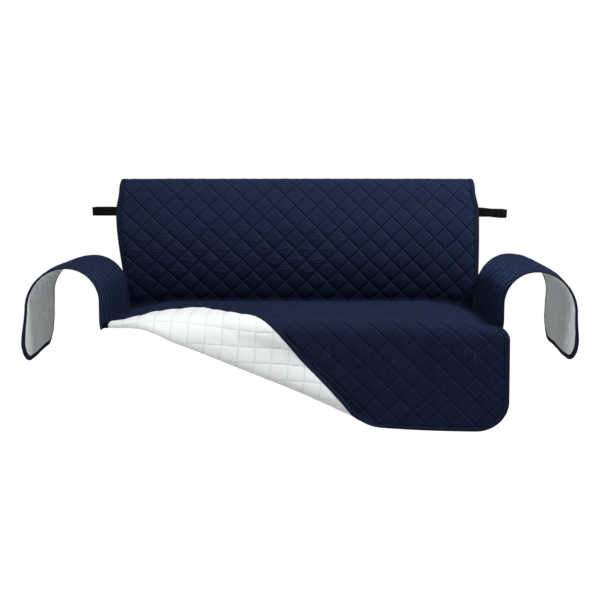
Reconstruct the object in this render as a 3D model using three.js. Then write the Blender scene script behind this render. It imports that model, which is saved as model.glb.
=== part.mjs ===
// A quilted slipcover for a two-seat sofa, in the shape in which it lies on the sofa. The sofa is left out.
// One long main panel runs from the front hem up over the seat, into the crease, up the back and down behind.
// Its front left corner is turned back and shows the pale reverse. A panel for each arm is sewn to its sides,
// bindings finish the edges and an elastic strap runs round behind the sofa's back.
// Units are millimetres, +X to the right, +Y to the rear, +Z up. The origin is the mount: the underside of
// the band that lies over the top of the sofa's back, at mid-width.

import * as THREE from 'three';

// ---- driving dimensions ----
const CLOTH = { layer: 2, between: 0.4 }; // the face and the reverse, each with its half of the wadding
const BINDING = { width: 12, thickness: 5 };
const JOIN = 0.35; // between two pieces that are sewn together
const HALF = 580; // half the width of the main panel
const CORNER = { front: 90, rear: 60, arm: 90, steps: 5 }; // radii of the rounded corners
const SEAM = { front: 385, rear: 836 }; // where the arm panels are sewn on, along the main panel
const HANG = { y: -13, z: 98 }; // the front hem from the sofa's front plane and from the floor
const FRONT_SIDES = { left: 0, right: 24, down: 0, back: 0 };

// The main panel's profile from the front hem to the rear hem. turn is in degrees, negative towards the rear.
// left and right widen the panel, down and back drop and draw back its side edges, all at the stretch's end.
const PROFILE = [
  { name: 'front flap', length: 273, turn: 0, steps: 3, left: 0, right: 24, down: 6, back: 0 },
  { name: 'front edge', length: 75, turn: -88, steps: 5, left: 0, right: 3, down: 20, back: 0 },
  { name: 'seat front', length: 80, turn: 0, steps: 1, left: 0, right: 3, down: 24, back: 0 },
  { name: 'seat', length: 408, turn: -2, steps: 3, left: -7, right: -4, down: 26, back: 0 },
  { name: 'seat rear', length: 40, turn: -24, steps: 2, left: -7, right: -5, down: 24, back: 0 },
  { name: 'crease', length: 45, turn: 134, steps: 6, left: -1, right: 5, down: 15, back: 4 },
  { name: 'back low', length: 280, turn: -31, steps: 4, left: 29, right: 7, down: 0, back: 22 },
  { name: 'back high', length: 75, turn: -9, steps: 2, left: 20, right: -5, down: 0, back: 16 },
  { name: 'top front', length: 65, turn: -70, steps: 4, left: 14, right: -10, down: 0, back: 5 },
  { name: 'top band', length: 100, turn: 0, steps: 1, left: 10, right: -8, down: 2, back: 0 },
  { name: 'top rear', length: 63, turn: -90, steps: 5, left: 6, right: 0, down: 2, back: 0 },
  { name: 'rear drop', length: 400, turn: 0, steps: 3, left: 6, right: 6, down: 0, back: 0 },
];
const COLUMNS = [-520, -460, -400, -270, -130, 0, 130, 270, 400, 460, 520]; // cuts along the main panel
const SIDE_START = 400; // from here outwards the sides drop

// The turned-back corner. The fold runs from the left edge to the hem, as a roll that widens towards the hem.
const FOLD = {
  left: { t: -HALF, s: 362 },
  hem: { t: 195, s: 0 },
  radius: { left: 9, hem: 17 },
  rest: 9.5, // height of the turned-back layer over the layer below, once it has settled
  settle: 90, // it settles over this distance from the roll, cut into the steps below
  settleSteps: 4,
  puckers: 23, // length that the turned-back layer loses in its puckers, over the distance below
  over: 230,
  ease: { share: 0.85, at: 525, width: 60 }, // they lose less here, by this share, along the fold
  turns: 6, // facets round the roll
  step: 75, // between cuts across the roll
};
// The turned-back layer arches over the seat's front edge.
const PUFF = { height: 6, from: 273, over: 100, edge: 90, past: 50 };
const HEM_LIFT = { t: -20, width: 280, height: 27 }; // the hem is drawn up beside the fold

// The arm panels: up the arm's inner face, over the roll and down outside, from front to rear.
// face is the inner face's distance from the middle, and the roll rises to its inner radius over its centre's
// height. Towards the rear the roll rises and flares, and the inner faces close in by tuck. Above the seam
// their rear ends are pinched in further, towards the sofa's back.
const ARM = {
  front: 20, rear: 540, seam: 393, tuck: 7, pinchFrom: 4, pinchOver: 16, steps: [1, 6, 7, 3], cuts: 4,
};
const ARMS = [
  {
    name: 'left', side: -1, face: 584.5, centre: 472, inner: 100, outer: 120,
    drop: 161, lean: 2, rise: 8, flare: 10, pinch: 9,
  },
  {
    name: 'right', side: 1, face: 588, centre: 464, inner: 98, outer: 120,
    drop: 150, lean: -2, rise: 22, flare: 4, pinch: 8,
  },
];

const STRAP = {
  s: 1203, // where it is sewn on, along the main panel
  width: 28,
  thickness: 1.8,
  left: 694, // its sides' distances from the middle
  right: 686,
  front: 19, // its straight side stretches start this far behind its ends
  behind: 6, // from the main panel's rear hem
  bends: [45, 40],
  steps: 5,
};

const FINISH = {
  face: { color: 0x1f2a46, roughness: 0.8 },
  reverse: { color: 0xf2f4f6, roughness: 0.85 },
  binding: { color: 0x182038, roughness: 0.75 },
  strap: { color: 0x0d0d10, roughness: 0.9 },
};

// ---- small helpers ----
const smooth = (x) => {
  const k = Math.min(Math.max(x, 0), 1);
  return k * k * (3 - 2 * k);
};
const radians = THREE.MathUtils.degToRad;
const point = (t, s) => new THREE.Vector2(t, s);
const upTo = (count) => Array.from({ length: count }, (_, i) => i);

// An outline through corners {x, y, r}, each rounded by an arc of radius r.
function rounded(corners, steps, closed = true) {
  const points = [];
  corners.forEach(({ x, y, r = 0 }, i) => {
    const here = point(x, y);
    if (!r || (!closed && (i === 0 || i === corners.length - 1))) {
      points.push(here);
      return;
    }
    const before = corners[(i + corners.length - 1) % corners.length];
    const after = corners[(i + 1) % corners.length];
    const back = point(before.x, before.y).sub(here).normalize();
    const ahead = point(after.x, after.y).sub(here).normalize();
    const half = Math.acos(THREE.MathUtils.clamp(back.dot(ahead), -1, 1)) / 2;
    const centre = back.clone().add(ahead).normalize().multiplyScalar(r / Math.sin(half)).add(here);
    const first = back.clone().multiplyScalar(r / Math.tan(half)).add(here).sub(centre);
    const swing = Math.sign(back.cross(ahead)) * (2 * half - Math.PI);
    for (let k = 0; k <= steps; k += 1) {
      points.push(first.clone().rotateAround(point(0, 0), (swing * k) / steps).add(centre));
    }
  });
  return points;
}

// ---- the main panel's place on the sofa ----
// A flat point (t, s) is t across from the middle and s along from the front hem.
function profileAt(s) {
  let { y, z } = HANG;
  let heading = Math.PI / 2;
  let sides = FRONT_SIDES;
  let rest = s;
  for (const row of PROFILE) {
    const turn = radians(row.turn);
    const last = row === PROFILE[PROFILE.length - 1];
    const run = rest < row.length || last ? rest : row.length;
    const angle = (turn * run) / row.length;
    if (turn === 0) {
      y += run * Math.cos(heading);
      z += run * Math.sin(heading);
    } else {
      const radius = row.length / turn;
      y += radius * (Math.sin(heading + angle) - Math.sin(heading));
      z -= radius * (Math.cos(heading + angle) - Math.cos(heading));
    }
    heading += angle;
    const k = smooth(run / row.length);
    const mix = (key) => sides[key] + (row[key] - sides[key]) * k;
    sides = { left: mix('left'), right: mix('right'), down: mix('down'), back: mix('back') };
    rest -= run;
    if (rest <= 0) break;
  }
  return { y, z, ...sides };
}

const LENGTH = PROFILE.reduce((sum, row) => sum + row.length, 0);
const endOf = (name) => {
  const last = PROFILE.findIndex((row) => row.name === name);
  return PROFILE.slice(0, last + 1).reduce((sum, row) => sum + row.length, 0);
};
const BAND = profileAt((endOf('top front') + endOf('top band')) / 2);
const ORIGIN = { y: BAND.y, z: BAND.z - CLOTH.layer - CLOTH.between / 2 };

function drape({ t, s }) {
  const p = profileAt(s);
  const k = Math.abs(t) / HALF;
  const wider = (t < 0 ? -p.left : p.right) * k ** 2;
  const drop = p.down * smooth((Math.abs(t) - SIDE_START) / (HALF - SIDE_START));
  const near = Math.exp(-(((t - HEM_LIFT.t) / HEM_LIFT.width) ** 2));
  const lift = HEM_LIFT.height * near * Math.max(0, 1 - s / PROFILE[0].length);
  return new THREE.Vector3(t + wider, p.y + p.back * k ** 6 - ORIGIN.y, p.z - drop + lift - ORIGIN.z);
}

// Distances along and across the fold. across is positive on the corner's side.
const foldStart = point(FOLD.left.t, FOLD.left.s);
const foldLine = point(FOLD.hem.t, FOLD.hem.s).sub(foldStart);
const foldLength = foldLine.length();
const foldAlong = foldLine.clone().normalize();
const foldAcross = point(foldAlong.y, -foldAlong.x);
const along = (p) => p.clone().sub(foldStart).dot(foldAlong);
const across = (p) => p.clone().sub(foldStart).dot(foldAcross);
const rollRadius = (p) => FOLD.radius.left + ((FOLD.radius.hem - FOLD.radius.left) * along(p)) / foldLength;

// Where a flat point comes to lie once the corner is turned back, and its height over the layer below.
function turnedBack(p) {
  const r = rollRadius(p);
  const u = across(p);
  const start = (-Math.PI * r) / 2;
  if (u <= start) return { t: p.x, s: p.y, height: 0 };
  const angle = Math.min((u - start) / r, Math.PI);
  const past = Math.max(u + start, 0);
  const { share, at, width } = FOLD.ease;
  const taken = FOLD.puckers * (1 - share * Math.exp(-(((along(p) - at) / width) ** 2)));
  const place = start + r * Math.sin(angle) - past + taken * smooth(past / FOLD.over);
  const { x, y } = p.clone().addScaledVector(foldAcross, place - u);
  let height = r * (1 - Math.cos(angle));
  if (past > 0) height = FOLD.rest + (2 * r - FOLD.rest) * (1 - smooth(past / FOLD.settle));
  const edge = smooth(Math.min(p.x + HALF, p.y) / PUFF.edge);
  const arch = smooth((y - PUFF.from) / PUFF.over) * edge * smooth(past / PUFF.past);
  return { t: x, s: y, height: height + PUFF.height * arch };
}

// The unit normal of a mapped sheet, on its face side.
function normalAt(map, a, b, step = 0.5) {
  const dt = map(a + step, b).sub(map(a - step, b));
  const ds = map(a, b + step).sub(map(a, b - step));
  return dt.cross(ds).normalize();
}

const lain = (t, s) => drape({ t, s });
function mainMap(a, b) {
  const { t, s, height } = turnedBack(point(a, b));
  return drape({ t, s }).addScaledVector(normalAt(lain, t, s), height);
}

// ---- the arm panels' place on the sofa ----
// A flat point is a, from front to rear, and w, up from the seam. On the right arm a runs to negative values,
// so that the face side is out on both.
const armParts = (arm) => [
  arm.centre - ARM.seam,
  (arm.inner * Math.PI) / 2,
  (arm.outer * Math.PI) / 2,
  arm.drop,
];
const armLength = (arm) => armParts(arm).reduce((sum, part) => sum + part, 0);

function armMap(arm) {
  const [face, inner, outer] = armParts(arm);
  const top = arm.centre + arm.inner;
  return (a, w) => {
    const y = -arm.side * a;
    const down = w - face - inner - outer;
    let x = arm.face;
    let z = ARM.seam + w;
    if (down >= 0) {
      x += arm.inner + arm.outer + Math.sin(radians(arm.lean)) * down;
      z = top - arm.outer - down;
    } else if (w >= face + inner) {
      const angle = (w - face - inner) / arm.outer;
      x += arm.inner + arm.outer * Math.sin(angle);
      z = top - arm.outer * (1 - Math.cos(angle));
    } else if (w >= face) {
      const angle = (w - face) / arm.inner;
      x += arm.inner * (1 - Math.cos(angle));
      z = arm.centre + arm.inner * Math.sin(angle);
    }
    const rear = (y - ARM.front) / (ARM.rear - ARM.front);
    const outside = smooth((w - face - inner) / outer);
    x += rear * (arm.flare * outside - ARM.tuck * (1 - outside));
    x -= arm.pinch * rear ** 3 * smooth((w - ARM.pinchFrom) / ARM.pinchOver) * (1 - outside);
    z += rear * arm.rise * smooth(w / (face + inner));
    return new THREE.Vector3(arm.side * x, y - ORIGIN.y, z - ORIGIN.z);
  };
}

// ---- flat cells: convex polygons of flat points, cut by straight lines ----
// A line is a function that is linear over the flat cloth and zero along the cut.
const NEAR = 1e-6;
function cut(cells, line) {
  return cells.flatMap((cell) => {
    const side = cell.map((p) => (Math.abs(line(p)) < NEAR ? 0 : line(p)));
    if (!side.some((d) => d > 0) || !side.some((d) => d < 0)) return [cell];
    const parts = [[], []];
    cell.forEach((p, i) => {
      const j = (i + 1) % cell.length;
      if (side[i] >= 0) parts[0].push(p);
      if (side[i] <= 0) parts[1].push(p);
      if (side[i] * side[j] < 0) {
        const crossing = p.clone().lerp(cell[j], side[i] / (side[i] - side[j]));
        parts[0].push(crossing);
        parts[1].push(crossing);
      }
    });
    return parts;
  });
}
const cutAll = (cells, lines) => lines.reduce(cut, cells);
const middle = (cell) => cell.reduce((sum, p) => sum.add(p), point(0, 0)).divideScalar(cell.length);
function cutWhere(cells, test, lines) {
  const chosen = cells.filter((cell) => test(middle(cell)));
  return [...cells.filter((cell) => !test(middle(cell))), ...cutAll(chosen, lines)];
}

// The cells as lists of indices into shared points, each edge with every point that lies on it.
function joined(cells) {
  const points = [];
  const indexOf = (p) => {
    const found = points.findIndex((q) => q.distanceTo(p) < 1e-4);
    return found < 0 ? points.push(p) - 1 : found;
  };
  const after = (list, i) => list[(i + 1) % list.length];
  const corners = cells.map((cell) => cell.map(indexOf));
  const loops = corners.map((loop) => loop.filter((v, i) => v !== after(loop, i)));
  const onEdge = (a, b) => {
    const side = b.clone().sub(a);
    const length = side.length();
    return points
      .map((p, i) => ({ i, from: p.clone().sub(a) }))
      .filter(({ from }) => Math.abs(side.cross(from)) < 1e-4 * length)
      .map(({ i, from }) => ({ i, k: from.dot(side) / length }))
      .filter(({ k }) => k > 1e-3 && k < length - 1e-3)
      .sort((p, q) => p.k - q.k)
      .map(({ i }) => i);
  };
  const withEdge = (loop) => loop.flatMap((v, i) => [v, ...onEdge(points[v], points[after(loop, i)])]);
  return { points, loops: loops.map(withEdge) };
}

// A convex polygon in triangles, best-shaped ear first, so that points along its edges are kept.
function triangles(points, loop) {
  const left = [...loop];
  const found = [];
  const quality = (i) => {
    const [a, b, c] = [-1, 0, 1].map((k) => points[left[(i + k + left.length) % left.length]]);
    const ab = b.clone().sub(a);
    const ac = c.clone().sub(a);
    return ab.cross(ac) / (ab.lengthSq() + ac.lengthSq() + c.distanceToSquared(b));
  };
  while (left.length > 3) {
    const scores = left.map((_, i) => quality(i));
    const ear = scores.indexOf(Math.max(...scores));
    found.push([-1, 0, 1].map((k) => left[(ear + k + left.length) % left.length]));
    left.splice(ear, 1);
  }
  return [...found, left];
}

// The outline of the triangles as one loop of indices, in their turning direction.
function outline(faces) {
  const next = new Map();
  const edges = faces.flatMap(([a, b, c]) => [[a, b], [b, c], [c, a]]);
  const known = new Set(edges.map(([a, b]) => `${a} ${b}`));
  edges.filter(([a, b]) => !known.has(`${b} ${a}`)).forEach(([a, b]) => next.set(a, b));
  const loop = [next.keys().next().value];
  while (next.get(loop[loop.length - 1]) !== loop[0]) loop.push(next.get(loop[loop.length - 1]));
  return loop;
}

// ---- solids ----
function meshOf(name, vertices, faces, finish) {
  const geometry = new THREE.BufferGeometry();
  const position = vertices.flatMap((v) => [v.x, v.y, v.z]);
  geometry.setAttribute('position', new THREE.Float32BufferAttribute(position, 3));
  geometry.setIndex(faces.flat());
  geometry.computeVertexNormals();
  const mesh = new THREE.Mesh(geometry, new THREE.MeshStandardMaterial({ ...finish, metalness: 0 }));
  mesh.name = name;
  return mesh;
}

// A sheet between two heights over the mapped surface.
function sheetMesh(name, flat, map, low, high, finish) {
  const { points, faces, edge } = flat;
  const count = points.length;
  const normals = points.map((p) => normalAt(map, p.x, p.y));
  const layer = (height) => points.map((p, i) => map(p.x, p.y).addScaledVector(normals[i], height));
  const walls = edge.flatMap((a, i) => {
    const b = edge[(i + 1) % edge.length];
    return [[b, a, a + count], [b, a + count, b + count]];
  });
  const under = faces.map(([a, b, c]) => [c + count, b + count, a + count]);
  return meshOf(name, [...layer(high), ...layer(low)], [...faces, ...under, ...walls], finish);
}

// A solid through four-cornered sections, closed at both ends.
function sweptMesh(name, sections, finish) {
  const faces = [[0, 2, 1], [0, 3, 2]];
  for (let i = 0; i < sections.length - 1; i += 1) {
    for (let k = 0; k < 4; k += 1) {
      const [a, b] = [4 * i + k, 4 * i + ((k + 1) % 4)];
      faces.push([a, b, b + 4], [a, b + 4, a + 4]);
    }
  }
  const end = 4 * (sections.length - 1);
  faces.push([end, end + 1, end + 2], [end, end + 2, end + 3]);
  return meshOf(name, sections.flat(), faces, finish);
}

// The longest run of neighbouring outline points that have a binding.
function boundRun(flat, bound) {
  const loop = flat.edge.map((i) => flat.points[i]);
  const turned = (i) => loop[(i + loop.length) % loop.length];
  const starts = loop.map((_, i) => i).filter((i) => bound(turned(i)) && !bound(turned(i - 1)));
  const runs = starts.map((start) => {
    const run = [];
    for (let i = start; bound(turned(i)); i += 1) run.push(turned(i));
    return run;
  });
  return runs.sort((a, b) => b.length - a.length)[0];
}

// A binding along such a run. The ends keep the sewing gap to what they meet.
function bindingMesh(name, run, map) {
  const ends = [0, run.length - 1];
  const sections = run.map((p, i) => {
    const before = run[Math.max(i - 1, 0)];
    const after = run[Math.min(i + 1, run.length - 1)];
    const into = i ? p.clone().sub(before).normalize() : after.clone().sub(p).normalize();
    const out = i < run.length - 1 ? after.clone().sub(p).normalize() : into;
    const way = into.clone().add(out).normalize();
    const outward = point(way.y, -way.x).divideScalar(way.dot(into));
    const from = p.clone();
    if (ends.includes(i)) from.addScaledVector(way, i ? -JOIN : JOIN);
    const corner = (d, height) => {
      const q = from.clone().addScaledVector(outward, d);
      return map(q.x, q.y).addScaledVector(normalAt(map, q.x, q.y), height);
    };
    const half = BINDING.thickness / 2;
    const wide = JOIN + BINDING.width;
    return [corner(JOIN, half), corner(wide, half), corner(wide, -half), corner(JOIN, -half)];
  });
  return sweptMesh(name, sections, FINISH.binding);
}

function flatCloth(cells) {
  const { points, loops } = joined(cells);
  const faces = loops.flatMap((loop) => triangles(points, loop));
  return { points, faces, edge: outline(faces) };
}

// The face and the reverse of a panel, quilted together.
function quilted(name, flat, map) {
  const inner = CLOTH.between / 2;
  const outer = inner + CLOTH.layer;
  return [
    sheetMesh(`${name}_face`, flat, map, inner, outer, FINISH.face),
    sheetMesh(`${name}_reverse`, flat, map, -outer, -inner, FINISH.reverse),
  ];
}

// ---- pieces ----
const EDGE = BINDING.width + JOIN; // the cloth stops here, inside the binding
const ROWS = PROFILE.flatMap((row) => {
  const start = endOf(row.name) - row.length;
  return upTo(row.steps).map((i) => start + ((i + 1) * row.length) / row.steps);
}).slice(0, -1);

function mainCells() {
  const wide = HALF - EDGE;
  const front = CORNER.front - EDGE;
  const rear = CORNER.rear - EDGE;
  const panel = rounded([
    { x: -wide, y: EDGE, r: front },
    { x: wide, y: EDGE, r: front },
    { x: wide, y: LENGTH - EDGE, r: rear },
    { x: -wide, y: LENGTH - EDGE, r: rear },
  ], CORNER.steps);
  const strip = (a, b) => [
    point(a, SEAM.front),
    point(b, SEAM.front),
    point(b, SEAM.rear),
    point(a, SEAM.rear),
  ];
  const rollAt = (angle) => (p) => across(p) - angle * rollRadius(p);
  const rollEnd = rollAt(Math.PI / 2);
  const turns = upTo(FOLD.turns + 1).map((i) => rollAt(Math.PI * (i / FOLD.turns - 0.5)));
  const settled = upTo(FOLD.settleSteps).map((i) => {
    const distance = ((i + 1) * FOLD.settle) / FOLD.settleSteps;
    return (p) => rollEnd(p) - distance;
  });
  const crosscuts = upTo(Math.ceil(foldLength / FOLD.step)).map((i) => (p) => along(p) - i * FOLD.step);
  const grid = (place) => [
    ...ROWS.map((s) => (p) => place(p).y - s),
    ...COLUMNS.map((t) => (p) => place(p).x - t),
  ];
  const reflected = (p) => p.clone().addScaledVector(foldAcross, FOLD.puckers - 2 * across(p));
  const cells = cutAll([panel, strip(-HALF, -wide), strip(wide, HALF)], [...turns, ...settled]);
  const still = cutWhere(cells, (p) => turns[0](p) < 0, grid((p) => p));
  const rolled = cutWhere(still, (p) => turns[0](p) > 0 && rollEnd(p) < 0, crosscuts);
  return cutWhere(rolled, (p) => rollEnd(p) > 0, grid(reflected));
}

function mainPieces() {
  const flat = flatCloth(mainCells());
  const inside = (p) => Math.abs(p.x) < HALF - EDGE + 1e-3;
  const front = boundRun(flat, (p) => inside(p) && p.y <= SEAM.front);
  const rear = boundRun(flat, (p) => inside(p) && p.y >= SEAM.rear);
  return [
    ...quilted('main_panel', flat, mainMap),
    bindingMesh('front_binding', front, mainMap),
    bindingMesh('rear_binding', rear, mainMap),
  ];
}

function armPieces(arm) {
  const map = armMap(arm);
  const length = armLength(arm);
  const ends = [ARM.front + EDGE, ARM.rear - EDGE].map((y) => -arm.side * y);
  const [near, far] = [Math.min(...ends), Math.max(...ends)];
  const panel = rounded([
    { x: near, y: 0 },
    { x: far, y: 0 },
    { x: far, y: length - EDGE, r: CORNER.arm - EDGE },
    { x: near, y: length - EDGE, r: CORNER.arm - EDGE },
  ], CORNER.steps);
  let start = 0;
  const levels = armParts(arm).flatMap((part, i) => {
    const lines = upTo(ARM.steps[i]).map((k) => start + (part * (k + 1)) / ARM.steps[i]);
    start += part;
    return lines;
  }).slice(0, -1);
  const widths = upTo(ARM.cuts).map((i) => near + ((far - near) * (i + 1)) / (ARM.cuts + 1));
  const flat = flatCloth(cutAll([panel], [
    ...levels.map((w) => (p) => p.y - w),
    ...widths.map((a) => (p) => p.x - a),
  ]));
  const run = boundRun(flat, (p) => p.y > 0 || p.x < near + 1e-3 || p.x > far - 1e-3);
  return [...quilted(`${arm.name}_arm`, flat, map), bindingMesh(`${arm.name}_arm_binding`, run, map)];
}

// The elastic strap, from the main panel's left edge round behind the sofa's back to its right edge.
function strapPiece() {
  const [left, right] = [-HALF, HALF].map((t) => mainMap(t, STRAP.s));
  const rear = profileAt(LENGTH).y - ORIGIN.y + STRAP.behind;
  const [wide, close] = STRAP.bends;
  const gap = 2 * JOIN; // the edge's cloth leans, so the ends keep twice the sewing gap
  const path = rounded([
    { x: left.x - gap, y: left.y },
    { x: -STRAP.left, y: left.y + STRAP.front, r: wide },
    { x: -STRAP.left, y: rear, r: close },
    { x: STRAP.right, y: rear, r: close },
    { x: STRAP.right, y: right.y + STRAP.front, r: wide },
    { x: right.x + gap, y: right.y },
  ], STRAP.steps, false);
  const side = (d) => path.map((p, i) => {
    const ahead = path[Math.min(i + 1, path.length - 1)];
    const way = ahead.clone().sub(path[Math.max(i - 1, 0)]).normalize();
    return point(p.x - way.y * d, p.y + way.x * d);
  });
  const half = STRAP.thickness / 2;
  const shape = new THREE.Shape([...side(half), ...side(-half).reverse()]);
  const geometry = new THREE.ExtrudeGeometry(shape, { depth: STRAP.width, bevelEnabled: false });
  const mesh = new THREE.Mesh(geometry, new THREE.MeshStandardMaterial({ ...FINISH.strap, metalness: 0 }));
  mesh.name = 'strap';
  mesh.position.z = left.z - STRAP.width / 2;
  return mesh;
}

const slipcover = new THREE.Group();
slipcover.add(...mainPieces(), ...ARMS.flatMap(armPieces), strapPiece());

export default slipcover;
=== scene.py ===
"""A reversible quilted slipcover, as it lies over a two-seat sofa that is left out.

One long main panel runs from its front hem over the seat and up over the sofa's back. Its front left corner
is turned back and shows the pale reverse. An arm panel is sewn to each side, navy tape binds the edges, and
a black elastic strap passes behind the sofa's back.

Shapes are worked out in millimetres, in the row's axes, from flat cloth points: across the panel, and along
it from the hem. Meshes are written in metres.
"""

from __future__ import annotations

import logging
import math
from dataclasses import dataclass, field
from enum import Enum
from typing import Callable, Optional, Sequence, Union

import bpy
import numpy as np
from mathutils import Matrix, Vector

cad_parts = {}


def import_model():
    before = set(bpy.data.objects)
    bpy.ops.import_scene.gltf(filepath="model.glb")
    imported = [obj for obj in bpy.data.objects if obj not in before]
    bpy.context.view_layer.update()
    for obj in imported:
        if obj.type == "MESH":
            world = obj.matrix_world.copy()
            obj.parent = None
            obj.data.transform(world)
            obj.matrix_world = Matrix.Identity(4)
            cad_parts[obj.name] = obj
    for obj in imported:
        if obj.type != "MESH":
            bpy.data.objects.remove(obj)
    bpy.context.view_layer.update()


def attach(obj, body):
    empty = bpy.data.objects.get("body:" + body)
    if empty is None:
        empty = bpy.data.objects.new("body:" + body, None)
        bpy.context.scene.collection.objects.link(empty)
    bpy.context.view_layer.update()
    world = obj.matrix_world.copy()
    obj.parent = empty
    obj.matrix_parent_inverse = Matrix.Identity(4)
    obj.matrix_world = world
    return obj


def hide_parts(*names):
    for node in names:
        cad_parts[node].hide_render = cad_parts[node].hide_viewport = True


log = logging.getLogger("slipcover")

Array = np.ndarray
Piece = bpy.types.Object
Material = bpy.types.Material
Colour = tuple[float, float, float, float]
Corner = tuple[float, float, float]
Window = tuple[float, float, float, float]
FlatRule = Callable[[Array], Array]

MM = 0.001
BODY = "root"
HALF_THICKNESS = 2.2
BEND_STEPS = 3
WHITE = (1, 1, 1, 1)


class Slot(Enum):
    """The record's material slots."""

    NAVY = "navy_cloth"
    PALE = "pale_cloth"
    TAPE = "binding_tape"
    ELASTIC = "elastic"


class Side(Enum):
    """Left and right, as the sign of X."""

    LEFT = -1
    RIGHT = 1


# Numbers and meshes


def smooth(x: Array) -> Array:
    """A ramp from 0 to 1 with level ends."""
    k = np.clip(x, 0, 1)
    return k * k * (3 - 2 * k)


def bell(x: Array, width: float) -> Array:
    """A hump of height 1 about zero."""
    return np.exp(-((x / width) ** 2))


def flat_point(t: Array, s: Array) -> Array:
    """Flat points from their two numbers, which may be arrays of one shape."""
    return np.stack(np.broadcast_arrays(np.asarray(t, float), np.asarray(s, float)), -1)


def run_along(points: Array) -> Array:
    """The distance of each point along their line, from 0 at the first."""
    return np.concatenate([[0], np.cumsum(np.linalg.norm(np.diff(points, axis=0), axis=1))])


def numbering(rows: int, columns: int) -> Array:
    """The numbers of a grid's points, row by row."""
    return np.arange(rows * columns).reshape(rows, columns)


def write_mesh(
    name: str, points: Array, groups: list[Array], maps: dict[str, Array], sharp: float = 50
) -> Piece:
    """Makes an object from points in millimetres.

    Args:
        name: The piece's name.
        points: Points, n by 3, in millimetres.
        groups: Faces as rows of point numbers, one array for each number of corners.
        maps: UV maps by name, each n by 2, in the map's own unit.
        sharp: Edges with more than this turn, in degrees, stay sharp.

    Returns:
        The linked object, smooth shaded.
    """
    mesh = bpy.data.meshes.new(name)
    mesh.vertices.add(len(points))
    mesh.vertices.foreach_set("co", (points * MM).astype(np.float32).ravel())
    corners = np.concatenate([group.ravel() for group in groups])
    counts = np.concatenate([np.full(len(group), group.shape[1]) for group in groups])
    mesh.loops.add(len(corners))
    mesh.loops.foreach_set("vertex_index", corners.astype(np.int32))
    mesh.polygons.add(len(counts))
    mesh.polygons.foreach_set("loop_start", (np.cumsum(counts) - counts).astype(np.int32))
    mesh.update(calc_edges=True)
    for label, uv in maps.items():
        layer = mesh.uv_layers.new(name=label)
        layer.data.foreach_set("uv", uv[corners].astype(np.float32).ravel())
    mesh.validate()
    mesh.shade_smooth()
    mesh.set_sharp_from_angle(angle=math.radians(sharp))
    piece = bpy.data.objects.new(name, mesh)
    bpy.context.scene.collection.objects.link(piece)
    return piece


def write_tube(name: str, placed: Array, along: Array, across: Array, turned: bool, sharp: float) -> Piece:
    """Makes a closed tube from its sections, with the map "tape": along and across, in metres.

    Args:
        name: The piece's name.
        placed: The sections' points, rows by columns by 3, in millimetres.
        along: The distance of each section along the tube.
        across: The place of each of a section's points across the tube.
        turned: Whether the sections run the other way round.
        sharp: Edges with more than this turn, in degrees, stay sharp.

    Returns:
        The linked object.
    """
    index = numbering(*placed.shape[:2])
    ring = np.roll(index, -1, axis=1)
    if turned:
        walls = [index[:-1], index[1:], ring[1:], ring[:-1]]
        caps = [index[:1], index[-1:, ::-1]]
    else:
        walls = [index[:-1], ring[:-1], ring[1:], index[1:]]
        caps = [index[:1, ::-1], index[-1:]]
    tape = flat_point(along[:, None] * MM, across[None, :] * MM).reshape(-1, 2)
    groups = [np.stack(walls, -1).reshape(-1, 4), *caps]
    return write_mesh(name, placed.reshape(-1, 3), groups, {"tape": tape}, sharp)


# Where the cloth lies


@dataclass(frozen=True)
class Stretch:
    """One stretch of the main panel's middle line.

    turn is in degrees, negative towards the rear. left and right widen the panel, down and back drop and
    draw back its side edges, all at the stretch's end.
    """

    name: str
    length: float
    turn: float
    left: float
    right: float
    down: float
    back: float


PROFILE = (
    Stretch("front flap", 273, 0, 0, 24, 6, 0),
    Stretch("front edge", 75, -88, 0, 3, 20, 0),
    Stretch("seat front", 80, 0, 0, 3, 24, 0),
    Stretch("seat", 408, -2, -7, -4, 26, 0),
    Stretch("seat rear", 40, -24, -7, -5, 24, 0),
    Stretch("crease", 45, 134, -1, 5, 15, 4),
    Stretch("back low", 280, -31, 29, 7, 0, 22),
    Stretch("back high", 75, -9, 20, -5, 0, 16),
    Stretch("top front", 65, -70, 14, -10, 0, 5),
    Stretch("top band", 100, 0, 10, -8, 2, 0),
    Stretch("top rear", 63, -90, 6, 0, 2, 0),
    Stretch("rear drop", 400, 0, 6, 6, 0, 0),
)


@dataclass(frozen=True)
class Panel:
    """The main panel's cut, in millimetres."""

    half: float = 580
    front_corner: float = 90
    rear_corner: float = 60
    arm_seam_front: float = 385
    arm_seam_rear: float = 836

    @property
    def length(self) -> float:
        """From the front hem to the rear hem."""
        return sum(stretch.length for stretch in PROFILE)


class Cloth:
    """A cloth's place: flat points in, points in the row frame out, in millimetres."""

    step = 0.5

    def place(self, flat: Array) -> Array:
        """The cloth's middle at each flat point."""
        raise NotImplementedError

    def normal(self, flat: Array, place: Optional[FlatRule] = None) -> Array:
        """Works out which way the cloth faces.

        Args:
            flat: The flat points.
            place: Where the cloth lies, if not as its own place says.

        Returns:
            The unit normal on the face side at each flat point.
        """
        place = place or self.place
        across, along = flat_point(self.step, 0), flat_point(0, self.step)
        dt = place(flat + across) - place(flat - across)
        ds = place(flat + along) - place(flat - along)
        n = np.cross(dt, ds)
        return n / np.linalg.norm(n, axis=-1, keepdims=True)


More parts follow.
